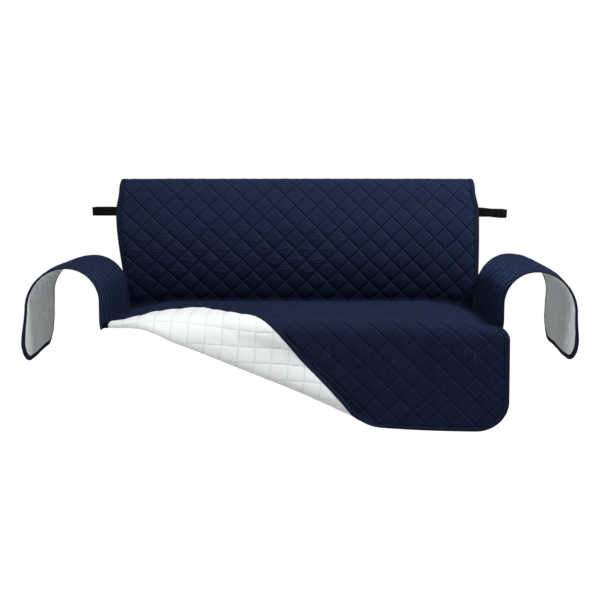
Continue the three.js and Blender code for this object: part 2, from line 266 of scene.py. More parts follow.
@dataclass(frozen=True)
class Line:
    """The main panel's middle line, with what happens at its sides."""

    start_y: float = -13
    start_z: float = 98
    start_right: float = 24

    def at(self, s: Array) -> tuple[Array, Array, Array]:
        """Follows the stretches.

        Args:
            s: Distances along the cloth from the front hem.

        Returns:
            y, z and the four side values (left, right, down, back) as a last axis, in the floor's frame.
        """
        y, z, heading, begin = self.start_y, self.start_z, math.pi / 2, 0.0
        side = np.array([0, self.start_right, 0, 0], float)
        found_y, found_z = np.zeros(s.shape), np.zeros(s.shape)
        found_side = np.zeros(s.shape + (4,))
        for i, row in enumerate(PROFILE):
            turn = math.radians(row.turn)
            here = ((s >= begin) | (i == 0)) & ((s < begin + row.length) | (i == len(PROFILE) - 1))
            run = s - begin
            ends = np.array([row.left, row.right, row.down, row.back], float)
            if turn == 0:
                way_y, way_z = run * math.cos(heading), run * math.sin(heading)
                end_y, end_z = row.length * math.cos(heading), row.length * math.sin(heading)
            else:
                radius = row.length / turn
                angle = heading + turn * run / row.length
                way_y = radius * (np.sin(angle) - math.sin(heading))
                way_z = -radius * (np.cos(angle) - math.cos(heading))
                end_y = radius * (math.sin(heading + turn) - math.sin(heading))
                end_z = -radius * (math.cos(heading + turn) - math.cos(heading))
            mixed = side + (ends - side) * smooth(run / row.length)[..., None]
            found_y = np.where(here, y + way_y, found_y)
            found_z = np.where(here, z + way_z, found_z)
            found_side = np.where(here[..., None], mixed, found_side)
            y, z, heading, begin, side = y + end_y, z + end_z, heading + turn, begin + row.length, ends
        return found_y, found_z, found_side

    def end_of(self, name: str) -> float:
        """The distance along the cloth at which the named stretch ends."""
        names = [row.name for row in PROFILE]
        return sum(row.length for row in PROFILE[: names.index(name) + 1])

    def origin(self) -> tuple[float, float]:
        """Finds the row's origin: the underside of the top band, half way.

        Returns:
            Its y and z in the floor's frame.
        """
        middle = (self.end_of("top front") + self.end_of("top band")) / 2
        y, z, _ = self.at(np.array([middle]))
        return float(y[0]), float(z[0]) - HALF_THICKNESS


LINE = Line()
ORIGIN_Y, ORIGIN_Z = LINE.origin()


@dataclass(frozen=True)
class Ridge:
    """A soft ridge, or with a negative height a trough, placed on the cloth."""

    t: float
    s: float
    degrees: float
    length: float
    width: float
    height: float

    def lift(self, flat: Array) -> Array:
        """Works out how far the ridge lifts the cloth.

        Args:
            flat: The flat points.

        Returns:
            The height at each of them.
        """
        a = math.radians(self.degrees)
        dt, ds = flat[..., 0] - self.t, flat[..., 1] - self.s
        along = dt * math.cos(a) + ds * math.sin(a)
        over = -dt * math.sin(a) + ds * math.cos(a)
        return self.height * bell(along, self.length / 2) * bell(over, self.width / 2)


@dataclass
class MainCloth(Cloth):
    """The main panel over the seat and the back, with its front left corner turned back."""

    panel: Panel = field(default_factory=Panel)
    widen_power: int = 2
    draw_power: int = 6
    side_start: float = 400
    lift_at: float = -20
    lift_width: float = 280
    lift_height: float = 27
    fold_left: tuple[float, float] = (-580, 362)
    fold_hem: tuple[float, float] = (195, 0)
    roll_left: float = 9
    roll_hem: float = 17
    rest: float = 10.5
    settle: float = 90
    puckers: float = 23
    pucker_over: float = 230
    ease: float = 0.85
    ease_at: float = 525
    ease_width: float = 60
    arch_height: float = 6
    arch_from: float = 273
    arch_over: float = 100
    arch_edge: float = 90
    arch_past: float = 50
    creases: tuple[Ridge, ...] = (
        Ridge(-455, 312, -25, 260, 120, -11),
        Ridge(-336, 163, -26, 75, 16, -1.6),
        Ridge(-297, 121, -28, 70, 16, -1.6),
        Ridge(-295, 162, -24, 80, 16, -1.5),
        Ridge(-231, 81, -27, 80, 14, -0.5),
        Ridge(-258, 114, -30, 70, 14, -0.4),
        Ridge(-195, 106, -22, 70, 14, -0.5),
        Ridge(-330, 560, 20, 260, 70, 1.6),
        Ridge(120, 500, -12, 320, 80, -1.6),
        Ridge(400, 600, 30, 240, 70, 1.5),
        Ridge(-60, 700, 5, 420, 60, 1.8),
        Ridge(-420, 1000, 75, 220, 60, 1.6),
        Ridge(-180, 950, -70, 200, 55, -1.5),
        Ridge(260, 980, 80, 260, 60, 1.8),
        Ridge(470, 1080, -80, 240, 50, -1.6),
        Ridge(40, 1150, 8, 300, 60, 1.4),
        Ridge(330, 1250, 4, 380, 30, 1.8),
        Ridge(-350, 1260, -3, 320, 30, 1.6),
        Ridge(262, 60, 62, 110, 22, -3.0),
        Ridge(292, 46, 48, 90, 18, 2.4),
        Ridge(330, 34, 30, 100, 20, -2.2),
        Ridge(380, 200, 90, 170, 26, 1.4),
        Ridge(300, 230, 86, 120, 22, -1.3),
        Ridge(450, 215, 94, 150, 24, 1.3),
        Ridge(-300, 1640, 88, 420, 120, 3.0),
        Ridge(20, 1660, 91, 400, 110, -3.0),
        Ridge(320, 1650, 93, 420, 130, 3.0),
    )

    def __post_init__(self) -> None:
        """Works out the fold's start, its length and its two directions on the flat cloth."""
        start, end = np.array(self.fold_left, float), np.array(self.fold_hem, float)
        self.fold_start = start
        self.fold_length = float(np.linalg.norm(end - start))
        self.fold_along = (end - start) / self.fold_length
        self.fold_across = np.array([self.fold_along[1], -self.fold_along[0]])

    def lain(self, flat: Array) -> Array:
        """Places the panel with no corner turned back.

        Args:
            flat: The flat points.

        Returns:
            The cloth's middle at each of them.
        """
        t, s = flat[..., 0], flat[..., 1]
        y, z, side = LINE.at(s)
        k = np.abs(t) / self.panel.half
        wider = np.where(t < 0, -side[..., 0], side[..., 1]) * k**self.widen_power
        drop = side[..., 2] * smooth((np.abs(t) - self.side_start) / (self.panel.half - self.side_start))
        lift = self.lift_height * bell(t - self.lift_at, self.lift_width)
        lift = lift * np.clip(1 - s / PROFILE[0].length, 0, 1)
        uneven = sum(crease.lift(flat) for crease in self.creases if crease.s > self.arch_from)
        x = t + wider
        z = z - drop + lift
        out = np.stack([x, y + side[..., 3] * k**self.draw_power - ORIGIN_Y, z - ORIGIN_Z], -1)
        seat_end, back_end = LINE.end_of("seat rear"), LINE.end_of("back high")
        out[..., 2] += uneven * (s < seat_end)
        out[..., 1] -= uneven * (s >= seat_end) * (s < back_end)
        return out

    def from_fold(self, flat: Array) -> Array:
        """The flat distance from the fold, above 0 on the turned-back corner."""
        return (flat - self.fold_start) @ self.fold_across

    def place(self, flat: Array) -> Array:
        """Places the panel with its corner turned back.

        Args:
            flat: The flat points.

        Returns:
            The cloth's middle at each of them.
        """
        along = (flat - self.fold_start) @ self.fold_along
        u = self.from_fold(flat)
        r = self.roll_left + (self.roll_hem - self.roll_left) * along / self.fold_length
        start = -math.pi / 2 * r
        turned = u > start
        angle = np.clip((u - start) / r, 0, math.pi)
        past = np.maximum(u + start, 0)
        taken = self.puckers * (1 - self.ease * bell(along - self.ease_at, self.ease_width))
        where = start + r * np.sin(angle) - past + taken * smooth(past / self.pucker_over)
        moved = np.where(turned[..., None], flat + (where - u)[..., None] * self.fold_across, flat)
        height = r * (1 - np.cos(angle))
        settled = self.rest + (2 * r - self.rest) * (1 - smooth(past / self.settle))
        height = np.where(past > 0, settled, height)
        edge = np.minimum(flat[..., 0] + self.panel.half, flat[..., 1])
        arch = smooth((moved[..., 1] - self.arch_from) / self.arch_over) * smooth(edge / self.arch_edge)
        height = height + self.arch_height * arch * smooth(past / self.arch_past)
        height = height + sum(crease.lift(flat) for crease in self.creases if crease.s <= self.arch_from)
        return self.lain(moved) + height[..., None] * self.normal(moved, self.lain)


@dataclass
class ArmCloth(Cloth):
    """An arm panel: up the arm's inner face, over its roll and down outside.

    face to drop and outer to seam are the arm's own sizes. The others say how the cloth differs from it:
    towards the rear, at the seam, round the drop's front corner, and in its fullness, sway and ripples.
    """

    side: Side
    face: float
    centre: float
    inner: float
    drop: float
    lean: float
    rise: float
    flare: float
    pinch: float
    fullness: float
    outer: float = 120
    front: float = 20
    rear: float = 540
    seam: float = 393
    tuck: float = 7
    pinch_from: float = 3
    pinch_over: float = 9
    pinch_power: int = 3
    corner: float = 90
    curl: float = 11
    curl_over: float = 30
    curl_start: float = 0.35
    curl_down: float = 120
    draw_in: float = 6
    full_width: float = 2.2
    full_from: float = 0.3
    seam_in: float = 6
    seam_over: float = 25
    seam_front: float = 60
    seam_share: float = 0.4
    sway: float = 2.5
    sway_length: float = 62
    sway_start: float = 1.3
    sway_over: float = 110
    drift_along: float = 47
    drift_down: float = 70
    ripple: float = 2.4
    ripple_along: float = 12
    ripple_down: float = 6
    ripple_bend: tuple[float, float] = (1.7, 23)
    ripple_turn: tuple[float, float] = (1.5, 31)
    ripple_over: float = 60
    ripple_edge: float = 60
    ripple_least: float = 0.12

    @property
    def parts(self) -> tuple[float, float, float, float]:
        """The lengths of the inner face, the inner and the outer half of the roll, and the drop."""
        quarter = math.pi / 2
        return self.centre - self.seam, self.inner * quarter, self.outer * quarter, self.drop

    @property
    def length(self) -> float:
        """From the seam to the hem."""
        return sum(self.parts)

    def edge(self, y: Array, w: Array) -> tuple[Array, Array]:
        """Measures from the front edge and the hem, round their corner.

        Args:
            y: Places along the arm.
            w: Distances from the seam.

        Returns:
            The distance from the edge, and the front edge's share in it.
        """
        ahead = np.clip(self.corner - (y - self.front), 0, None)
        below = np.clip(self.corner - (self.length - w), 0, None)
        reach = np.maximum(np.hypot(ahead, below), 1)
        return self.corner - reach, ahead / reach

    def section(self, w: Array) -> tuple[Array, Array]:
        """Follows the arm's section, the same all along it.

        Args:
            w: Distances from the seam.

        Returns:
            x, away from the sofa's middle, and z, in the floor's frame.
        """
        face, inner, outer, _ = self.parts
        crown, top = self.face + self.inner, self.centre + self.inner
        x, z = np.full(w.shape, float(self.face)), self.seam + w
        angle = (w - face) / self.inner
        x = np.where(w >= face, self.face + self.inner * (1 - np.cos(angle)), x)
        z = np.where(w >= face, self.centre + self.inner * np.sin(angle), z)
        angle = (w - face - inner) / self.outer
        beyond = w >= face + inner
        x = np.where(beyond, crown + self.outer * np.sin(angle), x)
        z = np.where(beyond, top - self.outer * (1 - np.cos(angle)), z)
        down = w - face - inner - outer
        leaning = crown + self.outer + math.sin(math.radians(self.lean)) * down
        return np.where(down >= 0, leaning, x), np.where(down >= 0, top - self.outer - down, z)

    def waves(self, y: Array, w: Array, down: Array, gap: Array) -> Array:
        """Works out the sway of the drop, the cloth's drift and its ripples.

        Args:
            y: Places along the arm.
            w: Distances from the seam.
            down: Distances down the drop.
            gap: Distances from the front edge and the hem.

        Returns:
            How far the cloth stands out.
        """
        sway = self.sway * np.sin(y / self.sway_length + self.sway_start) * smooth(down / self.sway_over)
        drift = np.sin(y / self.drift_along + w / self.drift_down)
        bend, bend_length = self.ripple_bend
        turn, turn_length = self.ripple_turn
        fine = np.sin(y / self.ripple_along + bend * np.sin(w / bend_length))
        fine = fine * np.sin(w / self.ripple_down + turn * np.sin(y / turn_length))
        inside = smooth(gap / self.ripple_edge) * smooth((self.rear - y) / self.ripple_edge)
        share = self.ripple_least + (1 - self.ripple_least) * inside
        return sway + drift + self.ripple * fine * smooth(down / self.ripple_over) * share

    def place(self, flat: Array) -> Array:
        """Places the panel.

        Args:
            flat: The flat points. Their first number runs along the arm, against Y on the right arm.

        Returns:
            The cloth's middle at each of them.
        """
        face, inner, outer, _ = self.parts
        y, w = -self.side.value * flat[..., 0], flat[..., 1]
        x, z = self.section(w)
        down = w - face - inner - outer
        rear = (y - self.front) / (self.rear - self.front)
        outside = smooth((w - face - inner) / outer)
        x = x + rear * (self.flare * outside - self.tuck * (1 - outside))
        pinched = smooth((w - self.pinch_from) / self.pinch_over) * (1 - outside)
        x = x - self.pinch * rear**self.pinch_power * pinched
        z = z + rear * self.rise * smooth(w / (face + inner))
        meeting = self.seam_share + (1 - self.seam_share) * smooth((y - self.front) / self.seam_front)
        x = x - self.seam_in * (1 - smooth(w / self.seam_over)) * meeting
        gap, share = self.edge(y, w)
        curl = self.curl * share * np.clip(1 - gap / self.curl_over, 0, 1) ** 2
        curl = curl * (self.curl_start + (1 - self.curl_start) * smooth(down / self.curl_down))
        x = x + outside * (curl - self.draw_in)
        full = self.fullness * bell(w - face - inner - outer / 2, outer / self.full_width)
        full = full * smooth(rear / self.full_from)
        x, z = x + full + self.waves(y, w, down, gap), z + full
        return np.stack([self.side.value * x, y - ORIGIN_Y, z - ORIGIN_Z], -1)


# The quilting


@dataclass(frozen=True)
class Quilting:
    """Diamond quilting. Its seams run where either lattice number of a flat point is whole."""

    across: float = 69.5
    along: float = 70.55
    start_t: float = -31
    start_s: float = 55.55
    skew: float = -21.2
    skew_from: float = 385
    skew_to: float = 836
    divisions: int = 10
    dome: float = 0.6
    shoulder: float = 8
    second_front: float = 0.75
    second_back: float = 0.95
    scatter: tuple[float, float, float, float] = (127.1, 311.7, 74.7, 43758.5453)

    @property
    def pitch(self) -> float:
        """The distance between two seams."""
        return self.across * self.along / math.hypot(self.across, self.along)

    def shift(self, s: Array) -> Array:
        """How far the pattern has wandered sideways."""
        return self.start_t + self.skew * self.towards_back(s)

    def lattice(self, flat: Array) -> Array:
        """Counts the seams of the two directions.

        Args:
            flat: The flat points.

        Returns:
            The two lattice numbers of each of them.
        """
        p = (flat[..., 0] - self.shift(flat[..., 1])) / self.across
        q = (flat[..., 1] - self.start_s) / self.along
        return np.stack([p + q, p - q], -1)

    def puff(self, flat: Array) -> Array:
        """Works out how far the filling stands up.

        Args:
            flat: The flat points.

        Returns:
            0 on a seam and 1 in the middle of a diamond. The second direction's seams are shallower.
        """
        off = np.abs((self.lattice(flat) % 1) * 2 - 1)
        each = self.dome * (1 - off**2) + (1 - self.dome) * (1 - off**self.shoulder)
        second = self.second_front + (self.second_back - self.second_front) * self.towards_back(flat[..., 1])
        return each[..., 0] * (1 - second * (1 - each[..., 1]))

    def towards_back(self, s: Array) -> Array:
        """0 on the flap and 1 on the back."""
        return smooth((s - self.skew_from) / (self.skew_to - self.skew_from))

    def diamond(self, flat: Array, seed: int) -> Array:
        """Gives each diamond a number that looks random but is always the same.

        Args:
            flat: The flat points.
            seed: A number for the layer.

        Returns:
            A number from 0 to 1 at each flat point.
        """
        cell = np.floor(self.lattice(flat))
        by_first, by_second, by_seed, spread = self.scatter
        return np.sin(cell[..., 0] * by_first + cell[..., 1] * by_second + seed * by_seed) * spread % 1


@dataclass(frozen=True)
class Outline:
    """A panel's outline: a rectangle with a rounded pair of corners at either end.

    seam is the stretch of the two sides, from and to, that is sewn to another panel.
    """

    left: float
    right: float
    bottom: float
    top: float
    low_corner: float
    high_corner: float
    inset: float
    seam: tuple[float, float] = (0, 0)

    def reach(self, s: Array) -> tuple[Array, Array]:
        """Finds the cloth's two ends.

        Args:
            s: Distances along the cloth.

        Returns:
            The left and the right end at each distance.
        """
        sewn = (s > self.seam[0]) & (s < self.seam[1])
        inset = np.where(sewn, 0, self.inset)
        back = np.zeros(s.shape)
        for corner, gap in ((self.low_corner, s - self.bottom), (self.high_corner, self.top - s)):
            if corner:
                r = corner - self.inset
                short = np.clip(r - (gap - self.inset), 0, r)
                back = np.maximum(back, r - np.sqrt(r * r - short * short))
        return self.left + inset + back, self.right - inset - back

    def margin(self, flat: Array) -> Array:
        """Measures from the nearest edge.

        Args:
            flat: The flat points.

        Returns:
            The distance at each of them.
        """
        left, right = self.reach(flat[..., 1])
        sides = np.minimum(flat[..., 0] - left, right - flat[..., 0])
        ends = np.minimum(flat[..., 1] - self.bottom, self.top - flat[..., 1]) - self.inset
        return np.minimum(sides, ends)


@dataclass(frozen=True)
class Layer:
    """One layer's thickness, in millimetres, and how far its puffs differ."""

    seam: float = 1.1
    puff: float = 3.2
    edge: float = 1.15
    inner: float = 0.12
    taper: float = 16
    least: float = 0.85
    spread: float = 0.3
    face_seed: int = 3
    reverse_seed: int = 8


class QuiltGrid:
    """A grid of flat points over a panel. Its lines meet the quilting's seams at their crossings."""

    end_gap = 2
    side_gap = 3
    most_cells = 4
    edge_power = 6
    hold_share = 0.5

    def __init__(self, outline: Outline, quilting: Quilting, rows: tuple[float, float]) -> None:
        """Lays out the grid. The columns wander with the pattern, and are squeezed in at rounded corners.

        Args:
            outline: The panel's outline.
            quilting: The quilting whose lattice the grid follows.
            rows: The first and the last distance along the cloth.
        """
        self.outline = outline
        self.quilting = quilting
        step_t = quilting.across / quilting.divisions
        step_s = quilting.along / quilting.divisions
        low, high = rows
        first = math.ceil((low + self.end_gap - quilting.start_s) / step_s)
        last = math.floor((high - self.end_gap - quilting.start_s) / step_s)
        self.row_numbers = np.arange(first - 1, last + 2)
        s = quilting.start_s + self.row_numbers * step_s
        s[0], s[-1] = low, high
        inner_left = outline.left + outline.inset + self.side_gap
        inner_right = outline.right - outline.inset - self.side_gap
        first_t = math.ceil((inner_left - quilting.start_t) / step_t)
        last_t = math.floor((inner_right - quilting.start_t) / step_t)
        self.column_numbers = np.arange(first_t - 1, last_t + 2)
        columns = quilting.start_t + self.column_numbers * step_t
        left, right = outline.reach(s)
        middle, half = (outline.left + outline.right) / 2, (outline.right - outline.left) / 2
        edge, hold = half - outline.inset, self.hold_share * half
        moved = np.clip(quilting.shift(s) - quilting.start_t, -step_t * self.most_cells, None)
        away = np.clip(np.abs(columns - middle) / edge, 0, 1)
        t = columns[None, :] + moved[:, None] * (1 - away[None, :] ** self.edge_power)
        squeeze_right = (right[:, None] - middle - hold) / (edge - hold)
        squeeze_left = (middle - left[:, None] - hold) / (edge - hold)
        offset = t - middle
        t = np.where(offset > hold, middle + hold + (offset - hold) * np.minimum(squeeze_right, 1), t)
        t = np.where(offset < -hold, middle - hold + (offset + hold) * np.minimum(squeeze_left, 1), t)
        t[:, 0], t[:, -1] = left, right
        self.flat = flat_point(t, np.broadcast_to(s[:, None], t.shape))

    def triangles(self) -> Array:
        """Halves each cell along the seam that crosses it.

        Returns:
            The triangles, n by 3.
        """
        index = numbering(*self.flat.shape[:2])
        a, b = index[:-1, :-1], index[:-1, 1:]
        d, c = index[1:, :-1], index[1:, 1:]
        i = self.column_numbers[:-1][None, :]
        j = self.row_numbers[:-1][:, None]
        n = self.quilting.divisions
        falling = ((i + j) % n == n - 1) | (((i - j) % n != 0) & ((i + j) % 2 == 0))
        falling = falling[..., None]
        one = np.where(falling, np.stack([a, b, d], -1), np.stack([a, b, c], -1))
        two = np.where(falling, np.stack([b, c, d], -1), np.stack([a, c, d], -1))
        return np.concatenate([one.reshape(-1, 3), two.reshape(-1, 3)])

    def rim(self) -> Array:
        """The numbers of the outline's points, in order."""
        index = numbering(*self.flat.shape[:2])
        return np.concatenate([index[0, :-1], index[:-1, -1], index[-1, :0:-1], index[:0:-1, 0]])


def quilt_layer(name: str, cloth: Cloth, grid: QuiltGrid, layer: Layer, up: int, boost: FlatRule) -> Piece:
    """One closed layer of a quilted panel, from near the panel's middle out to its puffs.

    Args:
        name: The piece's name.
        cloth: Where the panel lies.
        grid: The panel's flat points.
        layer: The layer's thickness.
        up: 1 for the face, -1 for the reverse.
        boost: Gives the factor on the puffs' height at flat points.

    Returns:
        The layer's object, with the maps "cloth", in metres, "quilt", the lattice numbers, and "edge", the
        distance from the cloth's edge in millimetres.
    """
    flat = grid.flat
    middle, normal = cloth.place(flat), cloth.normal(flat)
    margin = grid.outline.margin(flat)
    seed = layer.face_seed if up > 0 else layer.reverse_seed
    uneven = layer.least + layer.spread * grid.quilting.diamond(flat, seed)
    puff = layer.puff * grid.quilting.puff(flat) * boost(flat) * uneven
    height = layer.edge + (layer.seam - layer.edge + puff) * smooth(margin / layer.taper)
    outer = middle + normal * (up * height)[..., None]
    inner = middle + normal * (up * layer.inner)
    count = flat.shape[0] * flat.shape[1]
    faces, rim = grid.triangles(), grid.rim()
    ahead = np.roll(rim, -1)
    walls = np.stack([ahead, rim, rim + count, ahead + count], -1)
    if up > 0:
        groups = [np.concatenate([faces, faces[:, ::-1] + count]), walls]
    else:
        groups = [np.concatenate([faces[:, ::-1], faces + count]), walls[:, ::-1]]
    points = np.concatenate([outer.reshape(-1, 3), inner.reshape(-1, 3)])
    maps = {"cloth": flat * MM, "quilt": grid.quilting.lattice(flat), "edge": flat_point(margin, 0)}
    maps = {label: np.tile(uv.reshape(-1, 2), (2, 1)) for label, uv in maps.items()}
    return write_mesh(name, points, groups, maps)


# The binding


@dataclass(frozen=True)
class Tape:
    """The binding tape, folded over an edge. Its upper half runs outward from the cloth's edge, and up."""

    width: float = 12.35
    step: float = 6
    sharp: float = 75
    upper: tuple[tuple[float, float], ...] = (
        (-1.6, 1.6), (-1.6, 2.3), (-0.9, 2.65), (0.3, 2.45), (1.6, 2.0),
        (3.0, 2.35), (5.5, 2.75), (8.5, 2.65), (10.8, 2.0), (12.0, 1.0),
    )
    inner: tuple[tuple[float, float], ...] = ((2.6, -1.5), (2.6, 1.5))

    @property
    def section(self) -> Array:
        """The closed section: over the edge, back underneath, and inside the tape."""
        lower = [(out, -up) for out, up in reversed(self.upper)]
        return np.array([*self.upper, (self.width, 0), *lower, *self.inner])


def edge_path(corners: Sequence[Corner], step: float) -> tuple[Array, Array]:
    """Points along an open outline with rounded corners, and the outward direction at each.

    Args:
        corners: (t, s, radius) of each corner, walked with the cloth on the left.
        step: The longest distance between points.

    Returns:
        The points and the unit outward directions, n by 2 each.
    """
    spots = np.array([corner[:2] for corner in corners], float)
    ways = np.diff(spots, axis=0)
    lengths = np.linalg.norm(ways, axis=1)
    ways = ways / lengths[:, None]
    out = np.stack([ways[:, 1], -ways[:, 0]], -1)
    points, outward = [], []
    for i in range(len(ways)):
        cut_in = corners[i][2] if i else 0
        cut_out = corners[i + 1][2] if i < len(ways) - 1 else 0
        run = lengths[i] - cut_in - cut_out
        count = max(1, math.ceil(run / step))
        places = cut_in + run * np.arange(count + 1) / count
        points.extend(spots[i] + ways[i] * place for place in places)
        outward.extend([out[i]] * (count + 1))
        if cut_out:
            centre = spots[i + 1] - ways[i] * cut_out - out[i] * cut_out
            bends = max(BEND_STEPS, math.ceil(cut_out * math.pi / 2 / step))
            for k in range(1, bends):
                angle = math.pi / 2 * k / bends
                way = out[i] * math.cos(angle) + out[i + 1] * math.sin(angle)
                points.append(centre + way * cut_out)
                outward.append(way)
    return np.array(points), np.array(outward)


def binding(name: str, cloth: Cloth, path: tuple[Array, Array], tape: Tape) -> Piece:
    """A binding along an edge.

    Args:
        name: The piece's name.
        cloth: Where the panel lies.
        path: The cloth edge's points and outward directions.
        tape: The tape and its section.

    Returns:
        The binding's object.
    """
    points, outward = path
    section = tape.section
    flat = points[:, None, :] + outward[:, None, :] * section[None, :, 0, None]
    placed = cloth.place(flat) + cloth.normal(flat) * section[None, :, 1, None]
    return write_tube(name, placed, run_along(points), run_along(section), turned=False, sharp=tape.sharp)


# Shaders

Value = Union["Signal", float]


@dataclass(frozen=True)
class Signal:
    """A number, vector or colour that comes out of a node. Arithmetic on it adds Math nodes."""

    book: "Nodes"
    socket: bpy.types.NodeSocket

    def _math(self, operation: str, *values: Value) -> "Signal":
        """A Math node on the values."""
        return self.book.node("ShaderNodeMath", {"operation": operation}, dict(enumerate(values)))

    def __add__(self, other: Value) -> "Signal":
        """The sum."""
        return self._math("ADD", self, other)

    __radd__ = __add__

    def __sub__(self, other: Value) -> "Signal":
        """The difference."""
        return self._math("SUBTRACT", self, other)

    def __rsub__(self, other: Value) -> "Signal":
        """The difference, the other way round."""
        return self._math("SUBTRACT", other, self)

    def __mul__(self, other: Value) -> "Signal":
        """The product."""
        return self._math("MULTIPLY", self, other)

    __rmul__ = __mul__

    def __truediv__(self, other: Value) -> "Signal":
        """The quotient."""
        return self._math("DIVIDE", self, other)

    def __pow__(self, other: Value) -> "Signal":
        """The power."""
        return self._math("POWER", self, other)

    def fraction(self) -> "Signal":
        """What is left over the whole number below."""
        return self._math("FRACT", self)

    def size(self) -> "Signal":
        """The absolute value."""
        return self._math("ABSOLUTE", self)

    def least(self, other: Value) -> "Signal":
        """The smaller of the two."""
        return self._math("MINIMUM", self, other)

    def most(self, other: Value) -> "Signal":
        """The larger of the two."""
        return self._math("MAXIMUM", self, other)

    def off_whole(self) -> "Signal":
        """The signed distance from the nearest whole number."""
        return (self + 0.5).fraction() - 0.5

    def hump(self, width: float) -> "Signal":
        """1 at zero, falling off over width to either side."""
        return self._math("EXPONENT", (self / width) ** 2 * -1)

    def ramp(self, low: float, high: float) -> "Signal":
        """0 below low and 1 above high, with level ends."""
        inputs = {"Value": self, "From Min": low, "From Max": high}
        return self.book.node("ShaderNodeMapRange", {"interpolation_type": "SMOOTHSTEP"}, inputs)

    def window(self, stops: Window) -> "Signal":
        """1 between the middle two of four stops and 0 outside the outer two, with level ends."""
        return self.ramp(*stops[:2]) * (1 - self.ramp(*stops[2:]))


@dataclass(frozen=True)
class Grain:
    """Noise: how often it changes along a map's two numbers, its scale and its detail."""

    first: float = 1
    second: float = 1
    scale: float = 1
    detail: float = 1
    roughness: float = 0.5
    lift: float = 0

    @property
    def plain(self) -> bool:
        """Whether the map is taken as it is."""
        return (self.first, self.second, self.lift) == (1, 1, 0)


Owner = Union[Material, bpy.types.World]


class Nodes:
    """The nodes of a material or a world."""

    def __init__(self, owner: Owner) -> None:
        """Clears the owner's nodes.

        Args:
            owner: The material or the world.
        """
        self.owner = owner
        owner.use_nodes = True
        self.tree = owner.node_tree
        self.tree.nodes.clear()

    def node(self, kind: str, settings: dict, inputs: dict, output: Union[int, str] = 0) -> Signal:
        """Adds a node.

        Args:
            kind: The node's type.
            settings: Its properties, which are set first.
            inputs: Values or signals by the input's name or number.
            output: The output that is returned, by name or number.

        Returns:
            The output as a signal.
        """
        made = self.tree.nodes.new(kind)
        for key, setting in settings.items():
            setattr(made, key, setting)
        for key, given in inputs.items():
            if isinstance(given, Signal):
                self.tree.links.new(given.socket, made.inputs[key])
            else:
                made.inputs[key].default_value = given
        return Signal(self, made.outputs[output])

    def uv(self, name: str) -> tuple[Signal, Signal, Signal]:
        """Reads a UV map.

        Args:
            name: The map's name.

        Returns:
            The map as a vector, and its two numbers.
        """
        vector = self.node("ShaderNodeUVMap", {"uv_map": name}, {})
        first = self.node("ShaderNodeSeparateXYZ", {}, {0: vector})
        return vector, first, Signal(self, first.socket.node.outputs[1])

    def noise(self, place: tuple[Signal, Signal, Signal], grain: Grain) -> Signal:
        """Adds noise to a map.

        Args:
            place: The map as a vector, and its two numbers.
            grain: The noise.

        Returns:
            The noise, from 0 to 1.
        """
        vector, first, second = place
        if not grain.plain:
            stretched = {0: first * grain.first, 1: second * grain.second, 2: grain.lift}
            vector = self.node("ShaderNodeCombineXYZ", {}, stretched)
        inputs = {"Scale": grain.scale, "Detail": grain.detail, "Roughness": grain.roughness}
        return self.node("ShaderNodeTexNoise", {}, {"Vector": vector, **inputs})

    def mix(self, factor: Value, first: Union[Signal, Colour], second: Union[Signal, Colour]) -> Signal:
        """A mix of two colours."""
        return self.node("ShaderNodeMix", {"data_type": "RGBA"}, {0: factor, 6: first, 7: second}, 2)

    def bump(self, height: Signal, distance: float) -> Signal:
        """A normal from a height, over a distance in metres."""
        return self.node("ShaderNodeBump", {}, {"Height": height, "Distance": distance, "Strength": 1.0})

    def finish(self, shader: Signal, output: str = "ShaderNodeOutputMaterial") -> Owner:
        """Joins a shader to the output.

        Args:
            shader: The shader.
            output: The output node's type.

        Returns:
            The material or the world.
        """
        end = self.tree.nodes.new(output)
        self.tree.links.new(shader.socket, end.inputs["Surface"])
        return self.owner


@dataclass(frozen=True)
class Stitch:
    """A row of stitches: the part of each stitch that shows, and the thread's half width."""

    length_mm: float
    thread_mm: float
    shows: Window = (0.04, 0.2, 0.66, 0.82)

    def row(self, along_mm: Signal, near_mm: Signal) -> Signal:
        """1 on the thread and 0 beside it and between stitches."""
        return (along_mm / self.length_mm).fraction().window(self.shows) * near_mm.hump(self.thread_mm)


